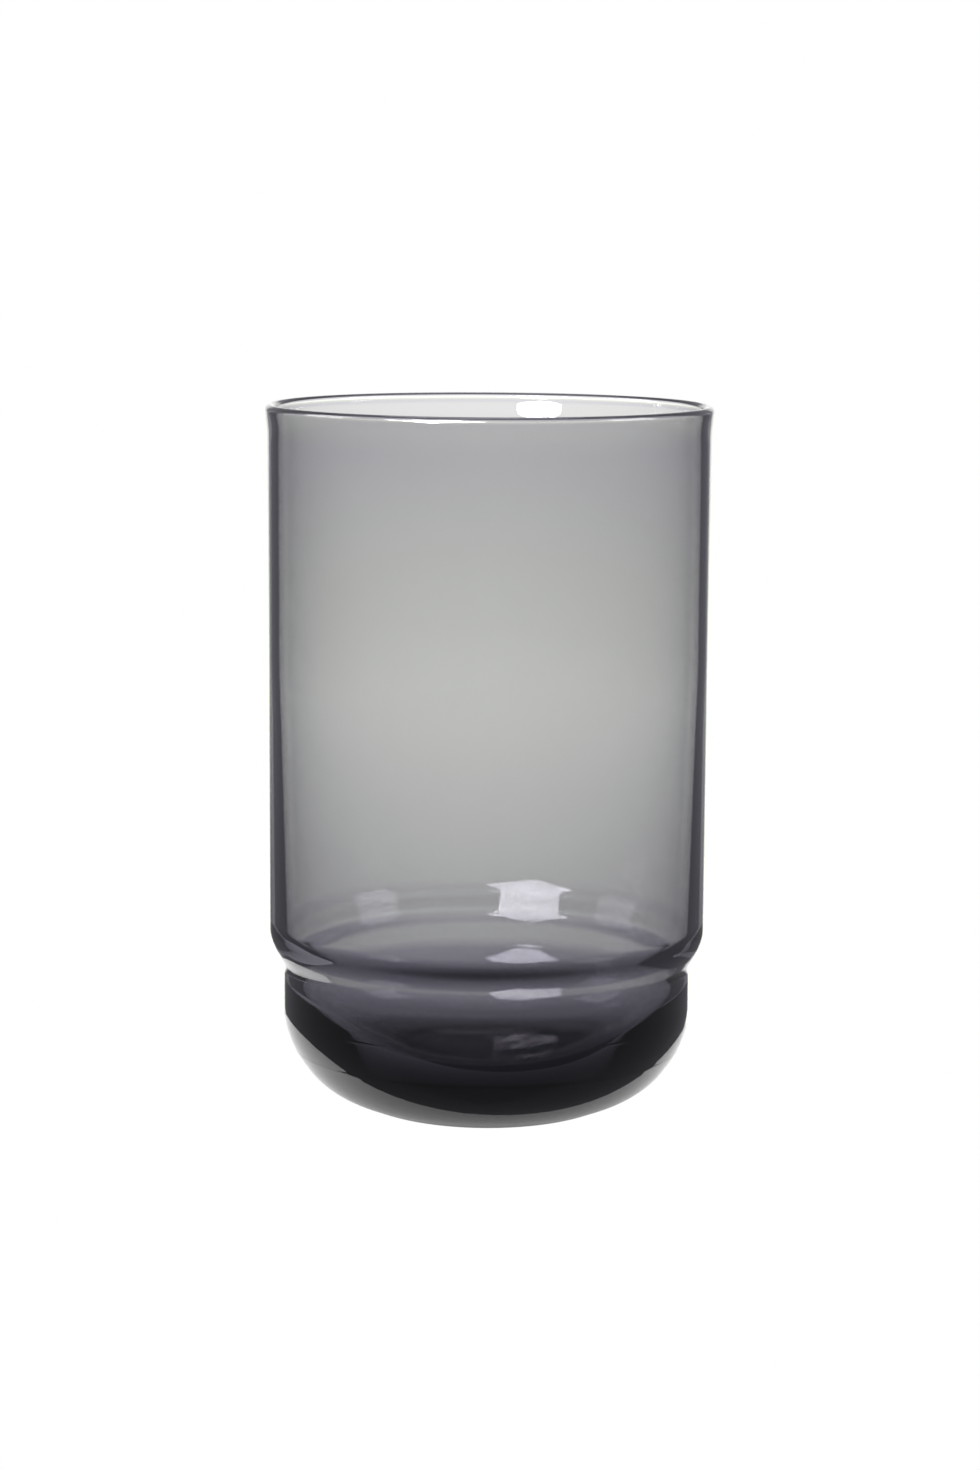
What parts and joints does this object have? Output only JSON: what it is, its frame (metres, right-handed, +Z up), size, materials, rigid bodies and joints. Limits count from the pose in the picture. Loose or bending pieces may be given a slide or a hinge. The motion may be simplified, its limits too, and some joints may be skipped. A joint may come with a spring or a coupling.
{
  "type": "glass vase",
  "caption": "Straight-sided smoke-grey glass vase with a polished lip, a rounded shoulder stepping in to a narrower base, and a thick bowl-shaped bottom.",
  "frame": {"origin": "centre of the foot, on the surface that the vase stands on", "axes": "+Z up along the axis of revolution, towards the mouth; +X and +Y are level, and any direction will do because the vase is round"},
  "size_m": [0.08, 0.08, 0.1273],
  "materials": {
    "smoke_glass": "clear fire-polished glass, smoke grey with a slight violet cast, darker where it is thick"
  },
  "bodies": {
    "root": {"glass_body": "smoke_glass"}
  },
  "joints": []
}
